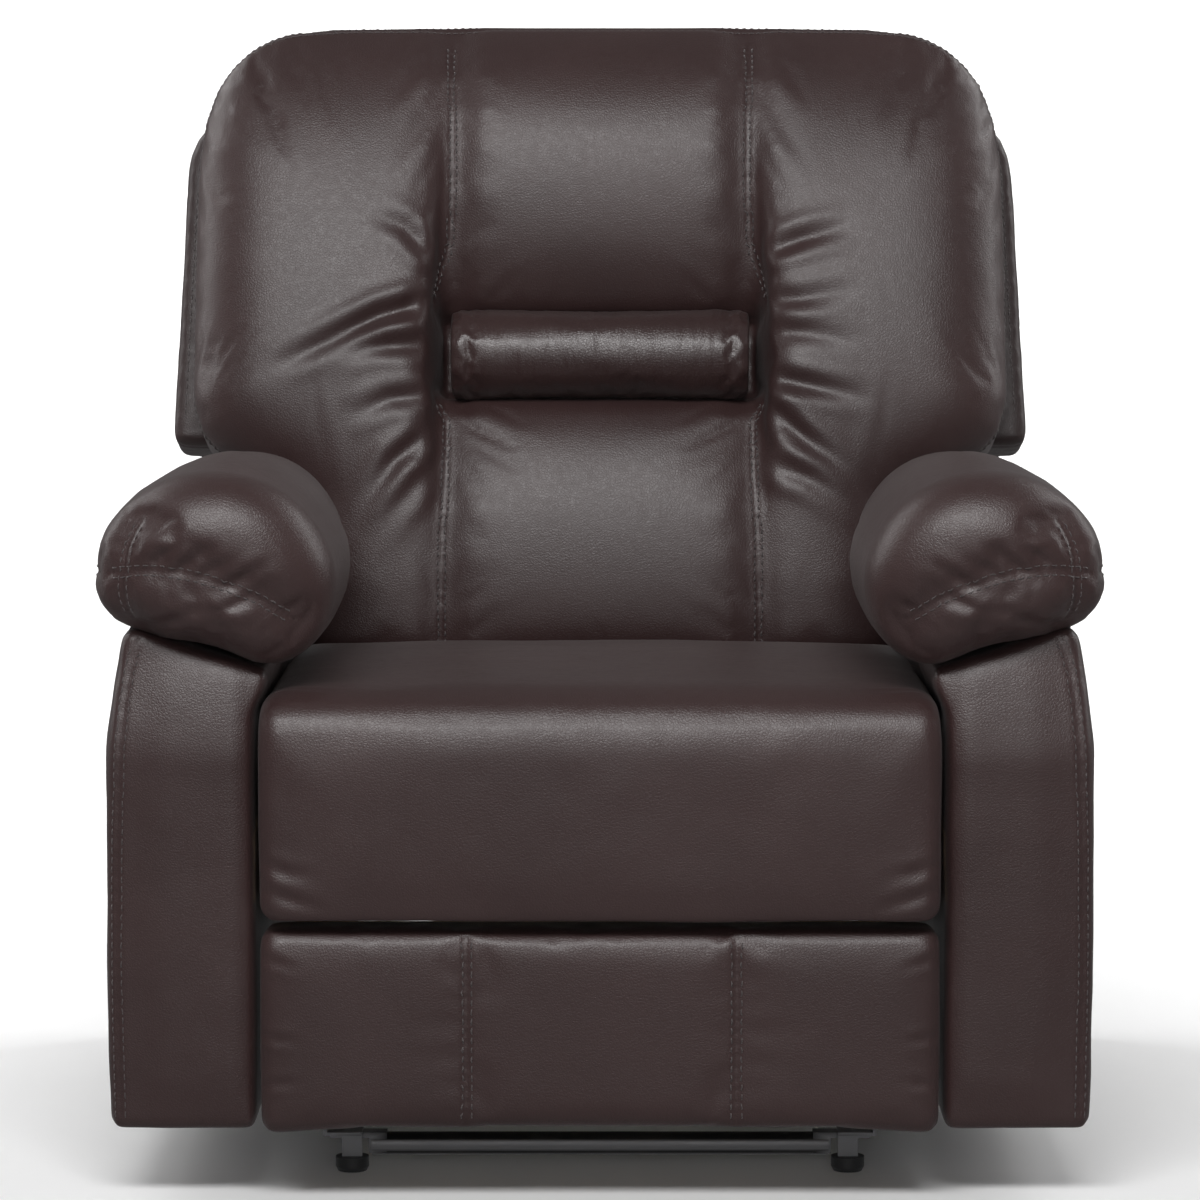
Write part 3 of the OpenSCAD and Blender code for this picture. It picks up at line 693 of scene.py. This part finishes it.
def back_cushion():
    """The puffed back pillow with its three upright panels."""
    points, faces = back_shape()
    obj = make_object("back_pillow", points, faces, LEATHER)
    fix_normals(obj)
    remesh(obj, 0.0062, 3)
    upright = []
    for side in (-1, 1):
        for low, high in ((-0.02, 0.250), (0.344, 0.631)):
            upright.append([back_point(side * along(SEAM_LINE, s), 0.02, s)
                            for s in np.linspace(low, high, 40)])
    upright = [on_surface(obj, p) for p in upright]
    rim = [[back_point(side * (w - 0.002), RIM_DEPTH, s) for s, w in PILLOW_EDGE] for side in (-1, 1)]
    rim.append([back_point(x, RIM_DEPTH + 0.004, 0.640) for x in np.linspace(-0.30, 0.30, 60)])
    rim = [on_surface(obj, p) for p in rim]
    co = points_of(obj.data)
    local = into_back(co)
    near = distance_to(co, upright)
    near_rim = distance_to(co, rim)
    in_groove = ((local[:, 2] > GROOVE[0] - 0.004) & (local[:, 2] < GROOVE[1] + 0.004)
                 & (np.abs(local[:, 0]) < 0.152) & (local[:, 1] > 0.030) & (local[:, 1] < 0.1))
    pinned = np.zeros(len(co))
    pinned[near < 0.0080] = 1.0
    pinned[near_rim < 0.0045] = 0.9
    pinned[in_groove | (local[:, 1] > 0.112)] = 1.0
    slack = np.where(np.abs(local[:, 0]) < 0.148, 0.30, 1.0)
    inflate(obj, pinned, pressure=4.0, grow=0.034, cap=0.026, bend=0.6, slack=slack)
    subdivide(obj)
    fold(obj, FOLDS, 0.0085, lambda line: [back_point(x, -0.010, s) for x, s in line])
    upright = [on_surface(obj, p) for p in upright]
    rim = [on_surface(obj, p) for p in rim]
    sink(obj, upright, 0.0022, 0.0020)
    sink(obj, rim, 0.0022, 0.0030)
    finish_soft(obj, "back", ["back_cushion"])
    stitches("back_stitching", obj, upright, (-0.0042, 0.0042), "back", 0.0052, 0.0026,
             0.0008)
    stitches("back_border_stitching", obj, rim[:2], (-0.0048, 0.0048), "back")
    return obj


def lumbar_roll():
    """The glossy roll across the middle, gathered into tucks at its ends."""
    rings = []
    half = 0.1485
    stations = np.concatenate([np.linspace(-1, -0.9, 10), np.linspace(-0.88, 0.88, 70),
                               np.linspace(0.9, 1, 10)])
    for q in stations:
        x = q * half
        end = min(1.0, (1 - abs(q)) / 0.10)
        swell = 0.90 + 0.10 * math.sin(end * math.pi / 2)
        ring = []
        for k in range(96):
            turn = 2 * math.pi * k / 96
            pleat = 1 + 0.035 * (1 - end) ** 0.7 * math.cos(9 * turn + 2 * math.sin(turn))
            r = 0.0435 * swell * pleat
            ring.append(back_point(x, 0.034 - r * math.cos(turn), 0.2940 + 1.04 * r * math.sin(turn)))
        rings.append(ring)
    obj = ring_loft("neck_roll", rings, LEATHER_ROLL)
    remesh(obj, 0.0035, 2)
    co = points_of(obj.data)
    pinned = ((np.abs(co[:, 0]) > 0.1435) | (into_back(co)[:, 1] > 0.05)).astype(float)
    inflate(obj, pinned, pressure=4, grow=0.008, cap=0.005, bend=1.5)
    subdivide(obj)
    wrinkle(obj, 0.0009, 0.034, 5, stretch=(1.8, 0.35, 0.35))
    finish_soft(obj, "back", ["lumbar_roll"])
    return obj


def filleted(corners, step=0.004):
    """A closed curve through corners given as (across, up, fillet radius)."""
    out = []
    n = len(corners)
    for i in range(n):
        p = np.array(corners[i][:2], float)
        a = np.array(corners[i - 1][:2], float) - p
        b = np.array(corners[(i + 1) % n][:2], float) - p
        a, b = a / np.linalg.norm(a), b / np.linalg.norm(b)
        r = corners[i][2]
        half = math.acos(np.clip(a @ b, -1, 1)) / 2
        reach = r / math.tan(half)
        start, end = p + a * reach, p + b * reach
        for t in np.linspace(0, 1, 12):
            out.append((1 - t) ** 2 * start + 2 * t * (1 - t) * p + t * t * end)
    out = np.array(out + [out[0]])
    run = np.concatenate([[0], np.cumsum(np.linalg.norm(np.diff(out, axis=0), axis=1))])
    at = np.linspace(0, run[-1], int(run[-1] / step), endpoint=False)
    return np.stack([np.interp(at, run, out[:, 0]), np.interp(at, run, out[:, 1])], 1)


def inset_curve(curve, amount):
    """Moves a closed 2D curve inward by amount."""
    ahead = np.roll(curve, -1, 0) - np.roll(curve, 1, 0)
    ahead /= np.linalg.norm(ahead, axis=1)[:, None] + 1e-12
    normal = np.stack([-ahead[:, 1], ahead[:, 0]], 1)
    area = 0.5 * np.sum(curve[:, 0] * np.roll(curve[:, 1], -1) - np.roll(curve[:, 0], -1) * curve[:, 1])
    return curve + normal * amount * (1 if area > 0 else -1)


def rounded_slab(name, curve, low, high, radius, to_point, material, voxel):
    """A slab with this outline between two depths, with rounded edges."""
    turn = np.linspace(0, math.pi / 2, 6)
    levels = [(radius * (1 - math.sin(a)), low + radius * (1 - math.cos(a))) for a in turn]
    levels += [(0.0, d) for d in np.linspace(low + radius, high - radius, 6)[1:-1]]
    levels += [(radius * (1 - math.cos(a)), high - radius * (1 - math.sin(a))) for a in turn]
    rings = [[to_point(u, d, v) for u, v in inset_curve(curve, inset)] for inset, d in levels]
    obj = ring_loft(name, rings, material)
    remesh(obj, voxel, 2)
    return obj


def back_shell():
    """The leather-covered outer back, whose edges show behind the pillow."""
    half = [(0.246, -0.160, 0.012), (0.250, -0.052, 0.010), (0.282, -0.048, 0.010), (0.282, 0.222, 0.012),
            (0.436, 0.224, 0.014), (0.4225, 0.576, 0.075)]
    corners = half + [(-x, s, r) for x, s, r in reversed(half)]
    curve = filleted(corners)
    obj = rounded_slab("outer_back", curve, 0.1340, 0.2129, 0.009, back_point, LEATHER_SHELL, 0.006)
    wrinkle(obj, 0.0009, 0.09, 11)
    subdivide(obj)
    rear = inset_curve(curve, 0.016)
    rear_path = [back_point(x, 0.2129, v) for x, v in np.vstack([rear, rear[:1]])]
    side_path = [back_point(x, 0.150, v) for x, v in np.vstack([curve, curve[:1]])]
    front = inset_curve(curve, 0.012)
    front_path = [back_point(x, 0.134, v) for x, v in front if v > 0.25]
    cross = [back_point(x, 0.2129, 0.215) for x in np.linspace(-0.418, 0.418, 120)]
    sewn = [on_surface(obj, q) for q in (rear_path, side_path, cross)]
    sink(obj, sewn, 0.0016, 0.0026)
    finish_soft(obj, "back", ["back_shell"])
    stitches("outer_back_stitching", obj, sewn[:1] + sewn[2:], (-0.0048, 0.0048), "back",
             0.0055, 0.003)
    right = [q for q in front_path if q[0] > 0]
    left = [q for q in front_path if q[0] < 0]
    stitches("outer_back_edge_stitching", obj, [right, left], (0,), "back", 0.0055, 0.003)


# ---- seat and footrest -----------------------------------------------------


# half the width of the seat and footrest cushions, and of the part of it that their crown spans
SEAT_HALF = 0.2955
CROWN_HALF = 0.295


def box_rounding(q, half, radius):
    """The inset of a section at place q of a loft that runs to half and rounds off there."""
    d = half - abs(q)
    if d >= radius:
        return 0.0
    return radius * (1 - math.sqrt(1 - ((radius - d) / radius) ** 2))


def side_loft(name, curve, half, radius, material, crown, stations=48):
    """Lofts a side outline, [forward, up], across X, rounding its ends."""
    inner = np.linspace(-(half - radius), half - radius, stations)
    tip = half - radius + radius * np.sin(np.linspace(0, math.pi / 2, 7)[1:])
    places = np.concatenate([-tip[::-1], inner, tip])
    rings = []
    for x in places:
        section = inset_curve(curve, box_rounding(x, half, radius))
        rings.append([(x, -(u + crown(x, u, z)[0]), z + crown(x, u, z)[1]) for u, z in section])
    return ring_loft(name, rings, material)


def seat_cushion():
    """The seat with its front apron in one piece."""
    curve = filleted([(0.4625, 0.251, 0.007), (0.4635, 0.446, 0.046), (0.120, 0.446, 0.050),
                      (-0.090, 0.438, 0.022), (-0.090, 0.340, 0.014), (0.412, 0.340, 0.004),
                      (0.412, 0.251, 0.006)], 0.005)

    def crown(x, u, z):
        bulge = 1 - (x / CROWN_HALF) ** 2
        lift = 0.005 * bulge * eased((z - 0.40) / 0.04)
        return (0.0015 * bulge if u > 0.44 else 0, lift)

    obj = side_loft("seat_pad", curve, SEAT_HALF, 0.016, LEATHER, crown)
    remesh(obj, 0.0065, 2)
    co = points_of(obj.data)
    held = (co[:, 2] < 0.346) & (co[:, 1] > -0.440)
    held |= (co[:, 1] > 0.06) | (co[:, 2] < 0.262)
    held |= (np.abs(co[:, 0]) > 0.292) & (co[:, 2] < 0.40)
    inflate(obj, held.astype(float), pressure=1.0, grow=0.0, cap=0.004, bend=8.0, frames=12)
    subdivide(obj)
    wrinkle(obj, 0.0011, 0.14, 3)
    crease = []
    for side in (-1, 1):
        crease.append(([(side * 0.293, -0.452, 0.305), (side * 0.272, -0.462, 0.296),
                        (side * 0.245, -0.463, 0.292)], 0.0016))
        crease.append(([(side * 0.293, -0.452, 0.282), (side * 0.268, -0.462, 0.272),
                        (side * 0.235, -0.463, 0.262)], 0.0020))
        crease.append(([(side * 0.290, -0.400, 0.440), (side * 0.255, -0.415, 0.442),
                        (side * 0.215, -0.425, 0.440)], 0.0018))
    fold(obj, crease, 0.005, lambda line: [np.array(q) for q in line])
    edge = [[(side * 0.2905, y, 0.425) for y in np.linspace(-0.40, 0.06, 60)] for side in (-1, 1)]
    sewn = [on_surface(obj, q) for q in edge]
    sink(obj, sewn, 0.0016, 0.0028)
    finish_soft(obj, "carriage", ["seat_cushion"])


def footrest_pad():
    """The padded face of the footrest, in three panels."""
    curve = filleted([(0.4515, 0.0665, 0.016), (0.4515, 0.2445, 0.020), (0.3862, 0.2420, 0.008),
                      (0.3862, 0.0700, 0.008)], 0.004)

    def crown(x, u, z):
        return (0, -0.006 * (x / CROWN_HALF) ** 4 if z < 0.10 else 0)

    obj = side_loft("footrest_upholstery", curve, SEAT_HALF, 0.014, LEATHER, crown)
    remesh(obj, 0.006, 2)
    seams = [[(x, -0.452, z) for z in np.linspace(0.072, 0.238, 40)] for x in (-0.1165, 0.1185)]
    co = points_of(obj.data)
    near = distance_to(co, seams)
    held = ((co[:, 1] > -0.400) | (near < 0.005)).astype(float)
    inflate(obj, held, pressure=1.2, grow=0.003, cap=0.0035, bend=6.0, frames=14)
    subdivide(obj)
    sewn = [on_surface(obj, q) for q in seams]
    sink(obj, sewn, 0.0024, 0.0030)
    crease = []
    for side in (-1, 1):
        for z, drop in ((0.222, 0.012), (0.150, 0.004), (0.105, -0.006)):
            crease.append(([(side * 0.294, -0.440, z), (side * 0.280, -0.450, z - drop * 0.6),
                            (side * 0.262, -0.453, z - drop)], 0.0013))
    fold(obj, crease, 0.004, lambda line: [np.array(q) for q in line])
    finish_soft(obj, "footrest", ["footrest_pad"])
    stitches("footrest_stitching", obj, sewn, (-0.0050, 0.0050), "footrest", 0.0055, 0.0028,
             0.0007)


# ---- arms ------------------------------------------------------------------


def front_hit(obj, path, step=0.004):
    """A line of across, up places thrown onto the front of a surface."""
    bvh = BVHTree.FromPolygons([v.co for v in obj.data.vertices],
                               [tuple(p.vertices) for p in obj.data.polygons])
    out = []
    for x, z in dense([np.array(q) for q in path], step):
        hit = bvh.ray_cast(Vector((x, -0.8, z)), Vector((0, 1, 0)))[0]
        if hit is not None:
            out.append(np.array(hit))
    return eased_path(out)


def cut_box(obj, low, high):
    """Cuts a box-shaped pocket into a closed mesh."""
    points = [(x, y, z) for x in (low[0], high[0]) for y in (low[1], high[1]) for z in (low[2], high[2])]
    faces = [(0, 1, 3, 2), (4, 6, 7, 5), (0, 4, 5, 1), (2, 3, 7, 6), (0, 2, 6, 4), (1, 5, 7, 3)]
    tool = make_object("pocket_tool", points, faces, LEATHER)
    fix_normals(tool)
    mod = obj.modifiers.new("pocket", "BOOLEAN")
    mod.operation = "DIFFERENCE"
    mod.solver = "EXACT"
    mod.object = tool
    apply_modifiers(obj)
    bpy.data.objects.remove(tool)


def arm_cover(side):
    """The leather over an arm, cut out for the handle cup on the left."""
    name = "left" if side < 0 else "right"
    curve = filleted([(0.3005, 0.0625, 0.006), (0.3005, 0.467, 0.010), (0.4165, 0.5065, 0.016),
                      (0.4290, 0.400, 0.120), (0.4300, 0.200, 0.100), (0.4290, 0.0625, 0.008)], 0.005)
    front, rear, radius = -0.4305, 0.380, 0.010
    arc = np.linspace(0.0, math.pi / 2, 6)
    rings = []
    stations = np.concatenate([front + radius * (1 - np.cos(arc)),
                               np.linspace(front + radius, rear - radius, 70)[1:-1],
                               rear - radius * (1 - np.cos(arc[::-1]))])
    for y in stations:
        reach = min(y - front, rear - y, radius)
        section = inset_curve(curve, box_rounding(radius - reach, radius, radius))
        rings.append([(side * x, y, z) for x, z in section])
    obj = ring_loft("arm_upholstery_" + name, rings, LEATHER)
    remesh(obj, 0.0065, 2)
    co = points_of(obj.data)
    lean_in = eased((co[:, 2] - 0.385) / 0.12) * np.clip((-0.30 - co[:, 1]) / 0.13, 0, 1)
    co[:, 1] += 0.022 * lean_in
    over_seat = eased((co[:, 2] - 0.425) / 0.035) * eased((-0.06 - co[:, 1]) / 0.15)
    over_seat *= eased((0.335 - np.abs(co[:, 0])) / 0.034)
    co[:, 0] -= side * 0.012 * over_seat
    set_points(obj.data, co)
    edge = [(side * x, z) for x, z in ((0.4195, 0.070), (0.4215, 0.200), (0.4205, 0.310), (0.4170, 0.400),
                                       (0.4135, 0.440), (0.4075, 0.478), (0.4000, 0.493))]
    edge = front_hit(obj, edge)
    co = points_of(obj.data)
    near = distance_to(co, [edge])
    plump = eased(near / 0.045) * eased((co[:, 2] - 0.065) / 0.05) * eased((0.50 - co[:, 2]) / 0.05)
    plump *= eased((np.abs(co[:, 0]) - 0.303) / 0.02)
    set_points(obj.data, co + normals_of(obj.data) * (0.0035 * plump)[:, None])
    subdivide(obj)
    wrinkle(obj, 0.0010, 0.12, 7 + side)
    if side < 0:
        co = points_of(obj.data)
        outside = np.maximum(np.abs(co[:, 1] + 0.205) - 0.067, np.abs(co[:, 2] - 0.363) - 0.040)
        bezel = np.clip(1 - outside / 0.03, 0, 1)
        over = np.minimum(0, co[:, 0] + 0.4284) * (co[:, 0] < -0.40)
        co[:, 0] -= over * eased(bezel)
        set_points(obj.data, co)
        cut_box(obj, (-0.46, -0.2645, 0.3305), (-0.392, -0.1455, 0.3955))
    edge = on_surface(obj, edge)
    rear_edge = on_surface(obj, [(side * x, 0.379, z) for x, z in ((0.420, 0.075), (0.421, 0.30),
                                                                 (0.415, 0.42), (0.405, 0.47))])
    top = on_surface(obj, [(side * 0.408, y, 0.500) for y in np.linspace(-0.38, 0.37, 90)])
    sewn = [edge, rear_edge, top]
    sink(obj, sewn, 0.0016, 0.0028)
    finish_soft(obj, "carriage", [f"arm_cover_{name}"])
    stitches("arm_stitching_" + name, obj, sewn, (-0.0045, 0.0045), "carriage", 0.0055, 0.0028,
             0.0006)


def arm_pad(side):
    """The overstuffed pad on an arm, gathered above its front seam."""
    name = "left" if side < 0 else "right"
    curve = smooth_closed([(0.284, 0.470), (0.333, 0.485), (0.385, 0.499), (0.424, 0.513), (0.4430, 0.542),
                           (0.4335, 0.581), (0.404, 0.614), (0.360, 0.635), (0.305, 0.633), (0.260, 0.606),
                           (0.233, 0.556), (0.243, 0.500)], 150)
    middle = np.array([0.333, 0.560])
    front, rear = -0.460, 0.062
    caps = np.sin(np.linspace(0.10, math.pi / 2, 20))

    def scaled(k, y):
        slim = eased((y + 0.32) / 0.36)
        place = []
        for x, z in middle + (curve - middle) * k:
            x += 0.17 * slim * max(middle[0] - x, 0)
            z -= 0.12 * slim * max(z - middle[1], 0)
            place.append((side * x, y, z))
        return place

    def drop(k):
        return 1 - (1 - min(k, 0.9999) ** 2.7) ** (1 / 2.2)

    rings = [scaled(k, front + 0.060 * drop(k)) for k in caps]
    rings += [scaled(1.0, y) for y in np.linspace(front + 0.064, rear - 0.046, 60)]
    rings += [scaled(k, rear - 0.042 * drop(k)) for k in caps[::-1]]
    obj = ring_loft("arm_pillow_" + name, rings, LEATHER)
    remesh(obj, 0.0055, 4)
    across = [(side * x, z) for x, z in ((0.4268, 0.5525), (0.412, 0.5555), (0.3865, 0.5571),
                                         (0.3652, 0.5553), (0.3454, 0.5513), (0.3323, 0.5471),
                                         (0.3159, 0.5405), (0.3027, 0.5372), (0.2912, 0.5323),
                                         (0.2814, 0.524), (0.2732, 0.5157), (0.262, 0.512))]
    corner = [(side * x, z) for x, z in ((0.398, 0.600), (0.4085, 0.5835), (0.4125, 0.5653), (0.4128, 0.552),
                                         (0.4150, 0.5355), (0.4130, 0.5223), (0.406, 0.510))]
    flank = [(side * 0.446, y, 0.553) for y in np.linspace(-0.425, 0.045, 60)]
    sewn = [front_hit(obj, across), front_hit(obj, corner), on_surface(obj, flank)]
    co = points_of(obj.data)
    near = distance_to(co, sewn)
    set_points(obj.data, co - normals_of(obj.data) * (0.0050 * np.exp(-((near / 0.018) ** 2)))[:, None])
    sewn = [on_surface(obj, q) for q in sewn]
    held = ((near < 0.0085) | (co[:, 2] < 0.490) & (np.abs(co[:, 0]) > 0.30)).astype(float)
    inflate(obj, held, pressure=3.5, grow=0.020, cap=0.014, bend=4.0)
    subdivide(obj)
    gathers = [([(0.387, 0.5600), (0.371, 0.5730), (0.357, 0.5826)], 0.0020),
               ([(0.366, 0.5550), (0.350, 0.5660), (0.331, 0.5783)], 0.0022),
               ([(0.345, 0.5520), (0.328, 0.5600), (0.312, 0.5660)], 0.0016),
               ([(0.323, 0.5394), (0.303, 0.5540), (0.280, 0.5653)], 0.0022),
               ([(0.271, 0.5204), (0.262, 0.5270), (0.254, 0.5325)], 0.0019),
               ([(0.300, 0.5340), (0.320, 0.5240), (0.352, 0.5170)], 0.0019),
               ([(0.400, 0.5060), (0.372, 0.5110), (0.340, 0.5240)], 0.0019)]
    lines = []
    for line, depth in gathers:
        hit = front_hit(obj, [(side * x, z) for x, z in line])
        if len(hit) > 2:
            lines.append((hit, depth))
    fold(obj, lines, 0.0050, lambda line: line)
    sewn = [on_surface(obj, q) for q in sewn]
    sink(obj, sewn, 0.0016, 0.0022)
    finish_soft(obj, "carriage", [f"arm_pad_{name}"])
    stitches("arm_pad_stitching_" + name, obj, sewn, (-0.0045, 0.0045), "carriage", 0.0050,
             0.0026, 0.0006)


def rear_apron():
    """The covered board that closes the chair's rear between the arms."""
    curve = filleted([(-0.299, 0.121, 0.006), (0.299, 0.121, 0.006), (0.299, 0.262, 0.006),
                      (-0.299, 0.262, 0.006)])
    obj = rounded_slab("rear_cover", curve, 0.352, 0.372, 0.005, lambda x, y, z: (x, y, z), LEATHER_SHELL,
                       0.006)
    wrinkle(obj, 0.0007, 0.10, 21)
    subdivide(obj)
    inner = inset_curve(curve, 0.014)
    sewn = [on_surface(obj, [(x, 0.373, z) for x, z in np.vstack([inner, inner[:1]])])]
    sink(obj, sewn, 0.0012, 0.0024)
    finish_soft(obj, "carriage", ["rear_apron"])
    stitches("rear_cover_stitching", obj, sewn, (0,), "carriage", 0.0055, 0.003)


back_cushion()
lumbar_roll()
back_shell()
seat_cushion()
footrest_pad()
for side in (-1, 1):
    arm_cover(side)
    arm_pad(side)
rear_apron()

# ---- studio ----------------------------------------------------------------


def studio():
    """A pale floor that curves up behind the chair."""
    points, faces = [], []
    profile = [(-6, 0)] + [(y, 0) for y in np.linspace(-2, 2.2, 4)]
    profile += [(2.2 + 1.5 * math.sin(a), 1.5 - 1.5 * math.cos(a)) for a in np.linspace(0.1, math.pi / 2, 12)]
    profile += [(3.7, 5)]
    for y, z in profile:
        points += [(-8, y, z - 0.0002), (8, y, z - 0.0002)]
    for i in range(len(profile) - 1):
        faces.append((2 * i, 2 * i + 1, 2 * i + 3, 2 * i + 2))
    mat, tree, shader = new_material("studio_floor")
    tone = noise_value(tree, object_space(tree), 3, 2)
    tree.links.new(mixed(tree, tone, (0.90, 0.90, 0.90), (0.93, 0.93, 0.93)), shader.inputs["Base Color"])
    shader.inputs["Roughness"].default_value = 0.8
    floor = make_object("floor", points, faces, mat)
    floor.visible_glossy = False


def area_light(name, place, target, size, power):
    """A rectangular softbox aimed at a target."""
    data = bpy.data.lights.new(name, "AREA")
    data.shape = "RECTANGLE"
    data.size, data.size_y = size
    data.energy = power
    light = bpy.data.objects.new(name, data)
    scene.collection.objects.link(light)
    light.location = place
    light.rotation_euler = (Vector(target) - Vector(place)).to_track_quat("-Z", "Y").to_euler()


studio()
area_light("key", (-0.35, -2.9, 2.9), (0, 0, 0.55), (2.6, 0.9), 112)
area_light("fill", (0.2, -4.9, 1.3), (0, 0, 0.5), (2.2, 1.4), 24)
area_light("rim_left", (-2.6, 0.6, 1.8), (0, 0.1, 0.7), (0.7, 2.0), 22)
area_light("rim_right", (2.6, 0.6, 1.8), (0, 0.1, 0.7), (0.7, 2.0), 22)
area_light("backdrop_left", (-2.0, 1.6, 2.6), (-0.5, 3.9, 1.0), (1.5, 1.5), 60)
area_light("backdrop_right", (2.0, 1.6, 2.6), (0.5, 3.9, 1.0), (1.5, 1.5), 60)
world = bpy.data.worlds.new("studio")
scene.world = world
world.use_nodes = True
world.node_tree.nodes["Background"].inputs["Color"].default_value = (1, 1, 1, 1)
world.node_tree.nodes["Background"].inputs["Strength"].default_value = 0.14
scene.view_settings.view_transform = "Standard"
